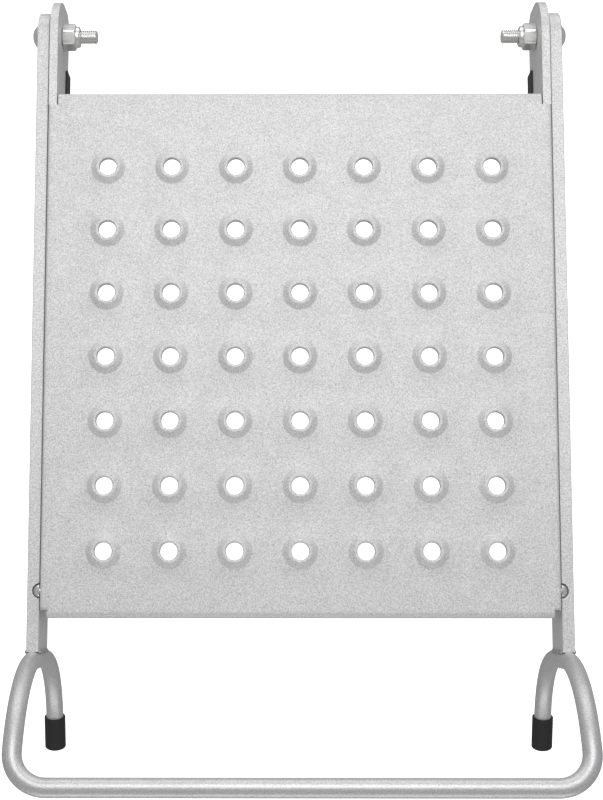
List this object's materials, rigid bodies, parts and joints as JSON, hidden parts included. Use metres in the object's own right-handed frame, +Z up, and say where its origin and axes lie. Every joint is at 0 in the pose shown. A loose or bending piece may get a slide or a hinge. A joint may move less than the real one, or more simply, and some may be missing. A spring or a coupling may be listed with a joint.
{
  "type": "folding ladder platform",
  "caption": "Fold-down perforated steel step platform of a rolling ladder, with a bent round-bar toe rail, side arms and rubber feet.",
  "frame": {"origin": "centre of the hinge axis, midway between the two ears", "axes": "+X along the hinge axis, -Y forward to the toe rail, +Z up from the walking surface"},
  "size_m": [0.3872, 0.5565, 0.217],
  "materials": {
    "galvanised_sheet": "hot-dip galvanised, fine speckle",
    "galvanised_plate": "hot-dip galvanised plate",
    "galvanised_bar": "hot-dip galvanised flat bar",
    "round_bar": "satin galvanised round bar",
    "weld": "galvanised weld bead",
    "zinc_fastener": "bright zinc plated",
    "black_rubber": "matt, ribbed",
    "nylon": "natural nylon"
  },
  "bodies": {
    "hinge_bolts": {"hinge_bolt_left": "zinc_fastener", "hinge_bolt_right": "zinc_fastener", "lock_nut_left": "zinc_fastener", "lock_nut_right": "zinc_fastener", "nut_insert_left": "nylon", "nut_insert_right": "nylon", "thrust_washer_left": "zinc_fastener", "thrust_washer_right": "zinc_fastener"},
    "arm_frame": {"arm_left": "galvanised_bar", "arm_right": "galvanised_bar", "toe_rail": "round_bar", "rail_weld_left": "weld", "rail_weld_right": "weld", "foot_cap_left": "black_rubber", "foot_cap_right": "black_rubber"},
    "tread": {"tread_plate": "galvanised_sheet", "cheek_left": "galvanised_plate", "cheek_right": "galvanised_plate", "edge_guard_left": "black_rubber", "edge_guard_right": "black_rubber", "stop_pin_left": "zinc_fastener", "stop_pin_right": "zinc_fastener"}
  },
  "joints": [
    {"name": "platform_fold", "type": "hinge", "parent": "hinge_bolts", "child": "arm_frame", "pos_m": [0, 0, 0], "axis": [-1, 0, 0], "range_deg": [0, 95]},
    {"name": "tread_lift", "type": "hinge", "parent": "arm_frame", "child": "tread", "pos_m": [0, 0, 0], "axis": [-1, 0, 0], "range_deg": [0, 75]}
  ]
}
